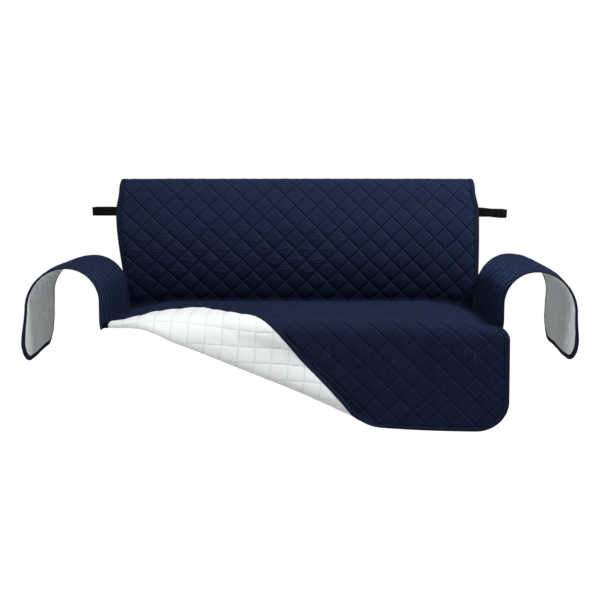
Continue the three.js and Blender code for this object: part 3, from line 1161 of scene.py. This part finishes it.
@dataclass(frozen=True)
class Microfibre:
    """Brushed microfibre quilted in diamonds, with its seams, stitches, puckers and nap.

    It also paints light and shade: shade and highlight beside the seams, shade along the crease and beside
    the tape, highlights on streaks and wrinkles, and a lighter upper back. Windows along the cloth are in
    metres from the front hem: coming in between the first two numbers and going out between the last two.
    painted_shade_strength and painted_highlight_strength are the strengths of each seam's painted shade and
    painted highlight.
    """

    name: str
    base: Colour
    light: Colour
    # The seam colour is painted shade: the seams' shaded side, the crease and the strip beside the tape.
    seam: Colour
    thread: Colour
    # The tone of painted light: highlights beside the seams and on streaks and wrinkles, and the lighter
    # upper back.
    painted_light_tone: Colour = (0.0190, 0.0300, 0.0700, 1)
    roughness: float = 0.9
    sheen: float = 0.1
    sheen_tint: Colour = WHITE
    sheen_roughness: float = 0.4
    specular: float = 0.02
    shade_shares: tuple[float, float, float] = (0.45, 0.35, 0.2)
    shade_range: tuple[float, float] = (0.32, 0.68)
    tone: Grain = Grain(scale=7.5, detail=2)
    nap: Grain = Grain(second=0.45, scale=26, detail=3, roughness=0.6)
    fibre: Grain = Grain(scale=1500, detail=2, roughness=0.6)
    streak: Grain = Grain(second=0.16, scale=90, detail=2, roughness=0.55)
    second_front: float = 0.6
    back_from: tuple[float, float] = (0.4, 0.84)
    # Painted shade and painted highlight beside the seams, in each direction.
    painted_shade_strength: tuple[float, float] = (0.7, 0.62)
    painted_highlight_strength: tuple[float, float] = (0.5, 0.34)
    line_mm: float = 1.5
    dip_mm: float = 2.8
    dark_side_mm: float = 0.6
    lit_side_mm: float = 2.4
    seam_depth: float = 0.002
    # How much deeper the painted seam shade is low on the back.
    low_back: float = 0.35
    low_back_share: float = 0.3
    low_back_at: Window = (0.86, 0.93, 1.08, 1.18)
    # Painted shade along the crease between the seat and the back.
    crease_painted_shade: float = 0.75
    crease_at: float = 0.914
    crease_width: float = 0.02
    # Painted light: how much lighter the upper back is painted, and where.
    back_painted_light: float = 0.36
    back_painted_light_at: Window = (0.96, 1.08, 1.42, 1.5)
    # Painted shade on the cloth just beside the binding tape.
    tape_edge_painted_shade: float = 0.7
    tape_edge_mm: float = 4.2
    edge_width_mm: float = 2.2
    stitch: Stitch = Stitch(3.4, 0.55)
    thread_share: float = 0.55
    pucker_mm: float = 13
    pucker_one: Grain = Grain(1.5, 9.0)
    pucker_two: Grain = Grain(9.0, 1.5, lift=4.0)
    wrinkles: float = 1.1
    # Painted highlight on the drawn streaks and the back's wrinkles.
    wrinkle_painted_highlight: float = 0.3
    back_wrinkle: Grain = Grain(30, 105)
    back_wrinkle_range: tuple[float, float] = (0.45, 0.7)
    back_wrinkle_at: Window = (0.96, 1.02, 1.12, 1.2)
    back_wrinkle_right: tuple[float, float] = (-0.05, 0.3)
    back_wrinkle_share: float = 0.6
    diamond_middle: tuple[float, float] = (0.08, 0.3)
    drawn: Grain = Grain(85, 11)
    drawn_range: tuple[float, float] = (0.42, 0.72)
    drawn_at: Window = (0.11, 0.19, 0.235, 0.275)
    drawn_lift: float = 2.2
    pucker_lift: float = 0.3
    streak_lift: float = 0.12
    nap_lift: float = 0.1
    fibre_lift: float = 0.03
    stitch_lift: float = 0.2
    pitch_mm: float = Quilting().pitch

    def material(self) -> Material:
        """Builds the material.

        Returns:
            The material, which reads the maps "cloth", "quilt" and "edge".
        """
        b = Nodes(bpy.data.materials.new(self.name))
        quilt, cloth = b.uv("quilt"), b.uv("cloth")
        _, margin, _ = b.uv("edge")
        _, t, s = cloth
        sides = [number.off_whole() * self.pitch_mm for number in quilt[1:]]
        near = [side.size() for side in sides]
        along = [number * self.pitch_mm for number in quilt[1:]]
        second = s.ramp(*self.back_from) * (1 - self.second_front) + self.second_front
        dip = near[0].hump(self.dip_mm).most(near[1].hump(self.dip_mm) * second)
        # Painted shade on each seam's side turned from the light, and painted highlight on the side turned
        # to it.
        painted_seam_shade = self._beside(sides, second, self.painted_shade_strength, -self.dark_side_mm)
        painted_seam_highlight = self._beside(sides, second, self.painted_highlight_strength, self.lit_side_mm)
        stitches = self.stitch.row(along[1], near[0]).most(self.stitch.row(along[0], near[1]))
        nap, fibre = b.noise(cloth, self.nap), b.noise(cloth, self.fibre)
        tone_share, nap_share, fibre_share = self.shade_shares
        shade = b.noise(cloth, self.tone) * tone_share + nap * nap_share + fibre * fibre_share
        # low_back makes the painted seam shade deeper low on the back.
        low_back = s.window(self.low_back_at) * self.low_back + (1 - self.low_back * self.low_back_share)
        wrinkles = b.noise(cloth, self.back_wrinkle).ramp(*self.back_wrinkle_range)
        wrinkles = wrinkles * (near[0].least(near[1]) / self.pitch_mm).ramp(*self.diamond_middle)
        wrinkles = wrinkles * s.window(self.back_wrinkle_at) * (1 - t.ramp(*self.back_wrinkle_right))
        drawn = b.noise(cloth, self.drawn).ramp(*self.drawn_range) * s.window(self.drawn_at)
        # Painted highlight on the drawn streaks and the back's wrinkles.
        painted_wrinkle_highlight = (drawn + wrinkles * self.back_wrinkle_share) * (self.wrinkles * self.wrinkle_painted_highlight)
        body = b.mix(shade.ramp(*self.shade_range), self.base, self.light)
        # Painted highlight beside the seams.
        body = b.mix(painted_seam_highlight, body, self.painted_light_tone)
        # Painted light: the upper back is mixed towards the lighter tone.
        body = b.mix(s.window(self.back_painted_light_at) * self.back_painted_light, body, self.painted_light_tone)
        # Painted shade beside the seams, deeper low on the back.
        body = b.mix(painted_seam_shade * low_back, body, self.seam)
        # Painted shade: a dark band along the crease between the seat and the back.
        body = b.mix((s - self.crease_at).hump(self.crease_width) * self.crease_painted_shade, body, self.seam)
        body = b.mix(stitches * self.thread_share, body, self.thread)
        # Painted shade on the cloth just beside the binding tape.
        painted_shade_beside_tape = (margin - self.tape_edge_mm).hump(self.edge_width_mm)
        body = b.mix(painted_shade_beside_tape * self.tape_edge_painted_shade, body, self.seam)
        # Painted highlight on the streaks and wrinkles.
        body = b.mix(painted_wrinkle_highlight, body, self.painted_light_tone)
        puckers = b.noise(quilt, self.pucker_one) * near[0].hump(self.pucker_mm)
        puckers = puckers + b.noise(quilt, self.pucker_two) * near[1].hump(self.pucker_mm)
        height = puckers * self.pucker_lift + b.noise(cloth, self.streak) * self.streak_lift
        height = height + nap * self.nap_lift + fibre * self.fibre_lift + stitches * self.stitch_lift
        height = height + (wrinkles + drawn * self.drawn_lift) * self.wrinkles - dip
        inputs = {
            "Base Color": body,
            "Roughness": self.roughness,
            "Normal": b.bump(height, self.seam_depth),
            "Sheen Weight": self.sheen,
            "Sheen Roughness": self.sheen_roughness,
            "Sheen Tint": self.sheen_tint,
            "Specular IOR Level": self.specular,
        }
        return b.finish(b.node("ShaderNodeBsdfPrincipled", {}, inputs))

    def _beside(
        self, sides: list[Signal], second: Signal, strengths: tuple[float, float], off: float
    ) -> Signal:
        """Paints a line beside each seam; the callers use it for painted shade and for painted highlight.

        Args:
            sides: The signed distance from the seams of each direction.
            second: The share that the second direction's seams have.
            strengths: The line's strength in each direction.
            off: The line's distance from the seam, towards the side where light falls.

        Returns:
            The line, from 0 to the strength.
        """
        first_line = (sides[0] + off).hump(self.line_mm) * strengths[0]
        return first_line.most((sides[1] - off).hump(self.line_mm) * (second * strengths[1]))


@dataclass(frozen=True)
class Woven:
    """A woven tape: ribs along it, a fine weft across it, and a row of stitches near its inner edge."""

    name: str
    base: Colour
    light: Colour
    thread: Colour
    rib_mm: float = 0.9
    weft_mm: float = 0.8
    weft_wave: float = 0.5
    depth: float = 0.0003
    roughness: float = 0.8
    specular: float = 0.08
    tone: Grain = Grain(scale=60, detail=3, roughness=0.6)
    tone_share: float = 0.6
    weft_share: float = 0.25
    rib_lift: float = 0.6
    weft_lift: float = 0.4
    tone_lift: float = 0.5
    seams_mm: tuple[float, ...] = ()
    stitch: Stitch = Stitch(3.2, 0.45)
    seam_width_mm: float = 1.0
    seam_share: float = 0.5
    seam_dip: float = 1.2
    thread_share: float = 0.6
    thread_lift: float = 1.5

    def material(self) -> Material:
        """Builds the material.

        Returns:
            The material, which reads the map "tape".
        """
        b = Nodes(bpy.data.materials.new(self.name))
        place = b.uv("tape")
        along, across = (number / MM for number in place[1:])
        rib = ((across / self.rib_mm).fraction() - 0.5).size() * 2
        weft = ((along / self.weft_mm + rib * self.weft_wave).fraction() - 0.5).size() * 2
        tone = b.noise(place, self.tone)
        body = b.mix(tone * self.tone_share + weft * self.weft_share, self.base, self.light)
        height = rib * self.rib_lift + weft * self.weft_lift + tone * self.tone_lift
        for seam in self.seams_mm:
            near = (across - seam).size()
            sunk, thread = near.hump(self.seam_width_mm), self.stitch.row(along, near)
            # Painted shade: the sunk seam line is painted in the darker base tone, as shade in its recess.
            body = b.mix(sunk * self.seam_share, body, self.base)
            body = b.mix(thread * self.thread_share, body, self.thread)
            height = height + thread * self.thread_lift - sunk * self.seam_dip
        inputs = {
            "Base Color": body,
            "Roughness": self.roughness,
            "Normal": b.bump(height, self.depth),
            "Specular IOR Level": self.specular,
        }
        return b.finish(b.node("ShaderNodeBsdfPrincipled", {}, inputs))


NAVY = Microfibre(
    name="navy_microfibre",
    base=(0.0093, 0.0152, 0.0370, 1),
    light=(0.0120, 0.0193, 0.0455, 1),
    # seam is the colour of the painted shade.
    seam=(0.0028, 0.0046, 0.0125, 1),
    thread=(0.0095, 0.0158, 0.0390, 1),
    sheen_tint=(0.27, 0.46, 1.0, 1),
)
PALE = Microfibre(
    name="pale_microfibre",
    base=(0.87, 0.888, 0.898, 1),
    light=(0.90, 0.915, 0.925, 1),
    # seam is the colour of the painted shade.
    seam=(0.62, 0.64, 0.66, 1),
    thread=(0.84, 0.86, 0.87, 1),
    # The painted light tone.
    painted_light_tone=(0.94, 0.95, 0.96, 1),
    sheen=0.0,
    second_front=1.0,
    painted_shade_strength=(0.75, 0.75),
    painted_highlight_strength=(0.0, 0.0),
    line_mm=0.9,
    dip_mm=2.0,
    seam_depth=0.0009,
    low_back=0.0,
    crease_painted_shade=0.0,
    back_painted_light=0.0,
    tape_edge_painted_shade=0.1,
    wrinkles=0.0,
)
TAPE = Woven(
    name="binding_tape",
    base=(0.0085, 0.0138, 0.0335, 1),
    light=(0.0120, 0.0190, 0.0450, 1),
    thread=(0.0140, 0.0220, 0.0500, 1),
    seams_mm=(3.9,),
)
ELASTIC = Woven(
    name="black_elastic",
    base=(0.0030, 0.0030, 0.0035, 1),
    light=(0.0070, 0.0070, 0.0080, 1),
    thread=(0.0080, 0.0080, 0.0090, 1),
    rib_mm=2.6,
    weft_mm=1.1,
    depth=0.0007,
    roughness=0.62,
)


# Sub-assemblies


@dataclass
class Finishes:
    """The materials, made once."""

    navy: Material = field(default_factory=NAVY.material)
    pale: Material = field(default_factory=PALE.material)
    tape: Material = field(default_factory=TAPE.material)
    elastic: Material = field(default_factory=ELASTIC.material)


def dress(piece: Piece, material: Material, slot: Slot, *nodes: str) -> Piece:
    """Gives a piece its material, puts it on the body and lets it stand for its CAD nodes.

    Args:
        piece: The piece.
        material: Its material.
        slot: Not used.
        nodes: The CAD nodes that it replaces.

    Returns:
        The piece.
    """
    piece.data.materials.append(material)
    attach(piece, BODY)
    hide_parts(*nodes)
    log.info("%s: %d faces", piece.name, len(piece.data.polygons))
    return piece


@dataclass
class QuiltedPanel:
    """A face and a reverse layer, quilted together, with the bindings round their edges."""

    finishes: Finishes
    cloth: Cloth
    tape: Tape = field(default_factory=Tape)
    layer: Layer = field(default_factory=Layer)
    overlap: float = 2.0

    @property
    def inset(self) -> float:
        """From the binding's outer edge to the cloth's own."""
        return self.tape.width - self.overlap

    def layers(self, name: str, grid: QuiltGrid, boost: FlatRule) -> tuple[Piece, Piece]:
        """Builds and dresses the two layers.

        Args:
            name: The panel's name.
            grid: Its flat points.
            boost: Gives the factor on the puffs' height at flat points.

        Returns:
            The face and the reverse.
        """
        face = quilt_layer(f"{name}_face_quilt", self.cloth, grid, self.layer, 1, boost)
        reverse = quilt_layer(f"{name}_reverse_quilt", self.cloth, grid, self.layer, -1, boost)
        dress(face, self.finishes.navy, Slot.NAVY, f"{name}_face")
        dress(reverse, self.finishes.pale, Slot.PALE, f"{name}_reverse")
        return face, reverse

    def bound(self, name: str, corners: Sequence[Corner]) -> Piece:
        """Builds and dresses one run of binding."""
        piece = binding(f"{name}_tape", self.cloth, edge_path(corners, self.tape.step), self.tape)
        return dress(piece, self.finishes.tape, Slot.TAPE, name)


@dataclass
class MainPanel(QuiltedPanel):
    """The long panel over the seat and the back."""

    cloth: MainCloth = field(default_factory=MainCloth)
    quilting: Quilting = field(default_factory=Quilting)
    turned_puff: float = 0.6
    turned_from: float = 30
    turned_over: float = 60
    puff_along: tuple[tuple[float, float], ...] = (
        (0, 0.5), (270, 0.5), (360, 0.45), (820, 0.45), (930, 1.2),
        (1080, 1.1), (1230, 0.6), (1330, 0.5), (1500, 0.7),
    )
    rim_puff: float = 1.4
    rim_width: float = 70
    rim_from: float = -120
    rim_over: float = 80
    roll_reach: float = 45
    roll_press: float = 0.75

    def boost(self, flat: Array) -> Array:
        """Presses the puffs flat round the roll and raises them on the turned-back corner.

        Args:
            flat: The flat points.

        Returns:
            The factor on the puffs' height at each of them.
        """
        across = self.cloth.from_fold(flat)
        rolled = bell(across, self.roll_reach)
        turned = smooth((across - self.turned_from) / self.turned_over)
        places, heights = zip(*self.puff_along)
        plain = np.interp(flat[..., 1], places, heights)
        edge = np.minimum(flat[..., 0] + self.cloth.panel.half, flat[..., 1])
        rim = bell(edge, self.rim_width) * smooth((self.rim_from - flat[..., 0]) / self.rim_over)
        standing = self.turned_puff + (self.rim_puff - self.turned_puff) * rim
        return (plain + (standing - plain) * turned) * (1 - self.roll_press * rolled)

    def build(self) -> None:
        panel = self.cloth.panel
        outline = Outline(
            left=-panel.half,
            right=panel.half,
            bottom=0,
            top=panel.length,
            low_corner=panel.front_corner,
            high_corner=panel.rear_corner,
            inset=self.inset,
            seam=(panel.arm_seam_front, panel.arm_seam_rear),
        )
        grid = QuiltGrid(outline, self.quilting, (self.inset, panel.length - self.inset))
        face, reverse = self.layers("main_panel", grid, self.boost)
        wide = panel.half - self.tape.width
        low, high = self.tape.width, panel.length - self.tape.width
        front_r, rear_r = panel.front_corner - low, panel.rear_corner - low
        seam = panel.arm_seam_front
        front_corners = [(-wide, seam, 0), (-wide, low, front_r), (wide, low, front_r), (wide, seam, 0)]
        seam = panel.arm_seam_rear
        rear_corners = [(wide, seam, 0), (wide, high, rear_r), (-wide, high, rear_r), (-wide, seam, 0)]
        front = self.bound("front_binding", front_corners)
        rear = self.bound("rear_binding", rear_corners)
        size = (2 * panel.half * MM, panel.length * MM)


@dataclass
class ArmPanel(QuiltedPanel):
    """A panel over one arm, sewn to the main panel's side."""

    name: str = "left_arm"
    pattern_across: float = 20
    pattern_along: float = 15

    def build(self) -> None:
        cloth: ArmCloth = self.cloth
        ends = sorted(-cloth.side.value * y for y in (cloth.front, cloth.rear))
        quilting = Quilting(start_t=ends[0] + self.pattern_across, start_s=self.pattern_along, skew=0)
        outline = Outline(
            left=ends[0],
            right=ends[1],
            bottom=-self.inset,
            top=cloth.length,
            low_corner=0,
            high_corner=cloth.corner,
            inset=self.inset,
        )
        grid = QuiltGrid(outline, quilting, (0, cloth.length - self.inset))
        face, reverse = self.layers(self.name, grid, lambda flat: np.ones(flat.shape[:-1]))
        width = self.tape.width
        left, right, top = ends[0] + width, ends[1] - width, cloth.length - width
        radius = cloth.corner - width
        corners = [(right, 0, 0), (right, top, radius), (left, top, radius), (left, 0, 0)]
        tape = self.bound(f"{self.name}_binding", corners)
        size = ((cloth.rear - cloth.front) * MM, cloth.length * MM)


@dataclass
class Strap:
    """The flat elastic that runs round behind the sofa's back, sewn under the main panel's edges."""

    finishes: Finishes
    cloth: MainCloth
    s: float = 1203
    width: float = 28
    thickness: float = 1.8
    left: float = 694
    right: float = 686
    front: float = 23
    behind: float = 6
    front_bend: float = 45
    rear_bend: float = 40
    under: float = 5
    tuck: float = 12
    edge_out: float = 6
    edge_up: float = 1
    edge_bend: float = 10
    arc_points: int = 13
    twist: float = 0.9
    twist_length: float = 210
    slack: float = 1.5
    droop: float = 8
    droop_over: float = 100
    level_over: float = 1200
    step: float = 8
    sharp: float = 50
    upper: tuple[tuple[float, float], ...] = (
        (-1.0, 0.0), (-0.97, 0.7), (-0.88, 1.0), (0.0, 1.0), (0.88, 1.0), (0.97, 0.7),
    )

    @property
    def section(self) -> Array:
        """The closed section, in half widths and half thicknesses."""
        return np.array([*self.upper, *((-across, -over) for across, over in self.upper)])

    def path(self) -> tuple[Array, float]:
        """Lays the strap's middle line round the sofa's back.

        Returns:
            The line's points as seen from above, and its height.
        """
        half = self.cloth.panel.half
        left, right = self.cloth.place(flat_point(np.array([-half, half]), np.array([self.s, self.s])))
        rear_y = LINE.at(np.array([self.cloth.panel.length]))[0][0] - ORIGIN_Y + self.behind
        corners = [
            (left[0] + self.tuck, left[1] + self.under, 0),
            (left[0] - self.edge_out, left[1] + self.under - self.edge_up, self.edge_bend),
            (-self.left, left[1] + self.front, self.front_bend),
            (-self.left, rear_y, self.rear_bend),
            (self.right, rear_y, self.rear_bend),
            (self.right, right[1] + self.front, self.front_bend),
            (right[0] + self.edge_out, right[1] + self.under - self.edge_up, self.edge_bend),
            (right[0] - self.tuck, right[1] + self.under, 0),
        ]
        return self._rounded(corners), float(left[2])

    def _rounded(self, corners: Sequence[Corner]) -> Array:
        """Rounds the corners and steps evenly along the line.

        Args:
            corners: x, y and bend radius of each corner.

        Returns:
            The line's points, n by 2.
        """
        points = [np.array(corners[0][:2], float)]
        for (x0, y0, _), (x1, y1, r), (x2, y2, _) in zip(corners, corners[1:], corners[2:]):
            here = np.array([x1, y1], float)
            back, ahead = np.array([x0, y0]) - here, np.array([x2, y2]) - here
            back, ahead = back / np.linalg.norm(back), ahead / np.linalg.norm(ahead)
            half = math.acos(float(np.clip(back @ ahead, -1, 1))) / 2
            cut = r / math.tan(half)
            shares = np.linspace(0, 1, self.arc_points)
            points.extend(here + back * cut * (1 - k) ** 2 + ahead * cut * k**2 for k in shares)
        points.append(np.array(corners[-1][:2], float))
        line = np.array(points)
        run = run_along(line)
        even = np.linspace(0, run[-1], math.ceil(run[-1] / self.step) + 1)
        return np.stack([np.interp(even, run, line[:, 0]), np.interp(even, run, line[:, 1])], -1)

    def build(self) -> None:
        line, height = self.path()
        way = np.gradient(line, axis=0)
        way /= np.linalg.norm(way, axis=1, keepdims=True)
        out = np.stack([-way[:, 1], way[:, 0]], -1)
        run, section = run_along(line), self.section
        lean = self.twist * np.sin(run / self.twist_length)
        across = section[:, 0] * self.width / 2
        over = section[:, 1] * self.thickness / 2
        offset = over[None, :] + lean[:, None] * section[None, :, 0]
        flat = line[:, None, :] + out[:, None, :] * offset[..., None]
        sag = -self.slack * np.sin(np.clip(run / run[-1], 0, 1) * math.pi)
        sag -= self.droop * smooth((run[-1] - run) / self.droop_over) * smooth(run / self.level_over)
        z = height + across[None, :] + sag[:, None]
        placed = np.concatenate([flat, z[..., None]], -1)
        piece = write_tube("strap_elastic", placed, run, across, turned=True, sharp=self.sharp)
        dress(piece, self.finishes.elastic, Slot.ELASTIC, "strap")
        self.width * MM


# The studio


@dataclass(frozen=True)
class Lamp:
    """A square soft lamp: its place, the point it faces, its side in metres and its power."""

    name: str
    at: tuple[float, float, float]
    aim: tuple[float, float, float]
    size: float
    watts: float


@dataclass
class Studio:
    """A pale floor, a pale world, soft lamps and the camera."""

    floor_z: float = -ORIGIN_Z * MM
    floor_size: float = 120
    floor_tone: Colour = (0.6, 0.6, 0.6, 1)
    floor_glow: float = 2.0
    glow_share: float = 0.5
    sky_tone: Colour = (0.95, 0.97, 1.0, 1)
    sky: float = 0.03
    camera_at: tuple[float, float, float] = (-0.003, -4.685, 0.0036)
    camera_down: float = 4.975
    lens: float = 83.4
    sensor: float = 36
    sight: float = 200
    lamps: tuple[Lamp, ...] = (
        Lamp("key_lamp", (1.8, -1.8, 2.4), (0, -0.2, -0.2), 0.8, 60),
        Lamp("right_lamp", (1.4, -0.7, 1.2), (0, -0.3, -0.3), 0.8, 25),
        Lamp("left_lamp", (-1.4, -2.0, 1.8), (0, -0.3, -0.3), 0.8, 31),
        Lamp("corner_lamp", (-0.95, -1.45, -0.38), (-0.3, -0.7, -0.45), 0.5, 2.7),
        Lamp("rear_lamp", (-0.3, 2.6, 1.5), (0, 0, -0.2), 1.0, 22),
    )

    def floor(self) -> None:
        """The floor, on which the camera sees little but the object's shadow."""
        points = np.array([[-1, -1], [1, -1], [1, 1], [-1, 1]]) * self.floor_size / 2 / MM
        points = np.column_stack([points, np.full(4, self.floor_z / MM)])
        piece = write_mesh("floor", points, [np.array([[0, 1, 2, 3]])], {})
        b = Nodes(bpy.data.materials.new("pale_floor"))
        seen = b.node("ShaderNodeLightPath", {}, {}, "Is Camera Ray")
        diffuse = b.node("ShaderNodeBsdfDiffuse", {}, {"Color": self.floor_tone})
        glow = b.node("ShaderNodeEmission", {}, {"Color": WHITE, "Strength": self.floor_glow})
        shader = b.node("ShaderNodeMixShader", {}, {0: seen * self.glow_share, 1: diffuse, 2: glow})
        piece.data.materials.append(b.finish(shader))

    def world(self) -> None:
        """An even pale light, white where the camera looks straight at it."""
        b = Nodes(bpy.data.worlds.new("studio"))
        seen = b.node("ShaderNodeLightPath", {}, {}, "Is Camera Ray")
        light = b.node("ShaderNodeBackground", {}, {"Color": self.sky_tone, "Strength": self.sky})
        white = b.node("ShaderNodeBackground", {}, {"Color": WHITE, "Strength": 1.0})
        mixed = b.node("ShaderNodeMixShader", {}, {0: seen, 1: light, 2: white})
        bpy.context.scene.world = b.finish(mixed, "ShaderNodeOutputWorld")

    def light(self, lamp: Lamp) -> None:
        """Sets up one lamp.

        Args:
            lamp: The lamp.
        """
        data = bpy.data.lights.new(lamp.name, "AREA")
        data.size = lamp.size
        data.energy = lamp.watts
        piece = bpy.data.objects.new(lamp.name, data)
        piece.location = lamp.at
        piece.rotation_euler = (Vector(lamp.aim) - Vector(lamp.at)).to_track_quat("-Z", "Y").to_euler()
        bpy.context.scene.collection.objects.link(piece)

    def camera(self) -> None:
        """The camera, in front of the sofa at the height of its back."""
        data = bpy.data.cameras.new("camera")
        data.lens = self.lens
        data.sensor_width = self.sensor
        data.clip_end = self.sight
        camera = bpy.data.objects.new("camera", data)
        camera.location = self.camera_at
        camera.rotation_euler = (math.radians(90 - self.camera_down), 0, 0)
        bpy.context.scene.collection.objects.link(camera)
        bpy.context.scene.camera = camera

    def build(self) -> None:
        """Sets up the studio."""
        self.floor()
        self.world()
        for lamp in self.lamps:
            self.light(lamp)
        self.camera()
        bpy.context.scene.view_settings.view_transform = "Standard"


ARMS = {
    "left_arm": ArmCloth(
        Side.LEFT, face=584.5, centre=472, inner=100, drop=161,
        lean=2, rise=8, flare=10, pinch=9, fullness=3.5,
    ),
    "right_arm": ArmCloth(
        Side.RIGHT, face=588, centre=464, inner=98, drop=150,
        lean=-2, rise=22, flare=4, pinch=8, fullness=5,
    ),
}


def main() -> None:
    """Builds the slipcover and the studio."""
    logging.basicConfig(level=logging.INFO, format="%(name)s: %(message)s")
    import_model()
    Studio().build()
    finishes = Finishes()
    main_panel = MainPanel(finishes)
    main_panel.build()
    for name, cloth in ARMS.items():
        ArmPanel(finishes, cloth, name=name).build()
    Strap(finishes, main_panel.cloth).build()


if __name__ == "__main__":
    main()
